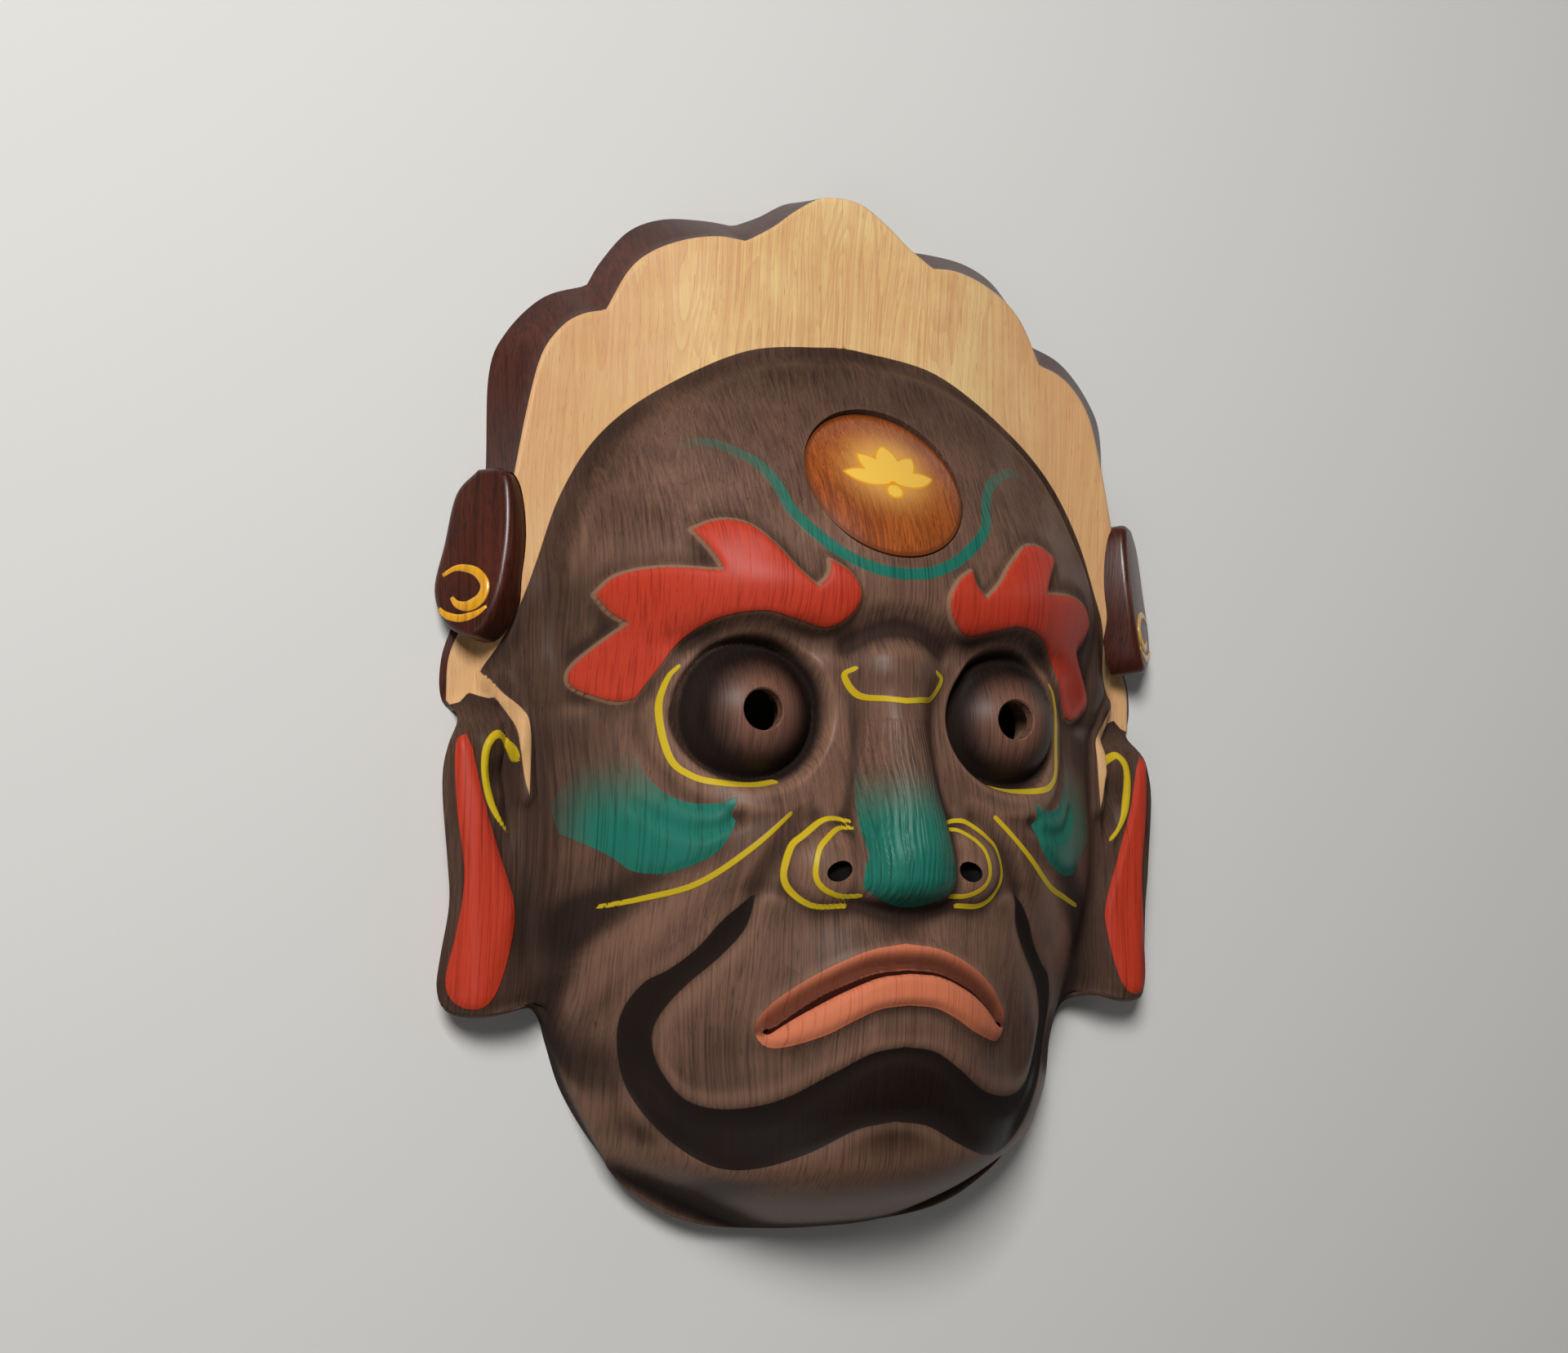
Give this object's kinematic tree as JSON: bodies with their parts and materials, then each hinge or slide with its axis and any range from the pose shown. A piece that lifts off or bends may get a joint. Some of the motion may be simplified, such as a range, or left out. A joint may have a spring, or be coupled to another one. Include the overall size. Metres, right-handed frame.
{
  "type": "theatre mask",
  "caption": "Carved and painted wooden folk-theatre mask with a scalloped crown, pierced ball eyes, a hooked nose and long ear lobes, hollow at the back.",
  "frame": {"origin": "on the floor under the middle of the mask, which lies on its back rim with the face up", "axes": "+Z out of the face, +Y from the chin towards the crown, +X towards the mask's own left ear"},
  "size_m": [0.197, 0.2604, 0.0661],
  "materials": {
    "carved_wood": "dark stained and satin lacquered, with painted areas",
    "amber_wood": "amber stained and gloss lacquered",
    "mahogany_wood": "red-brown stained and satin lacquered"
  },
  "bodies": {
    "root": {"mask_shell": "carved_wood", "forehead_boss": "amber_wood", "temple_block_left": "mahogany_wood", "temple_block_right": "mahogany_wood"}
  },
  "joints": []
}
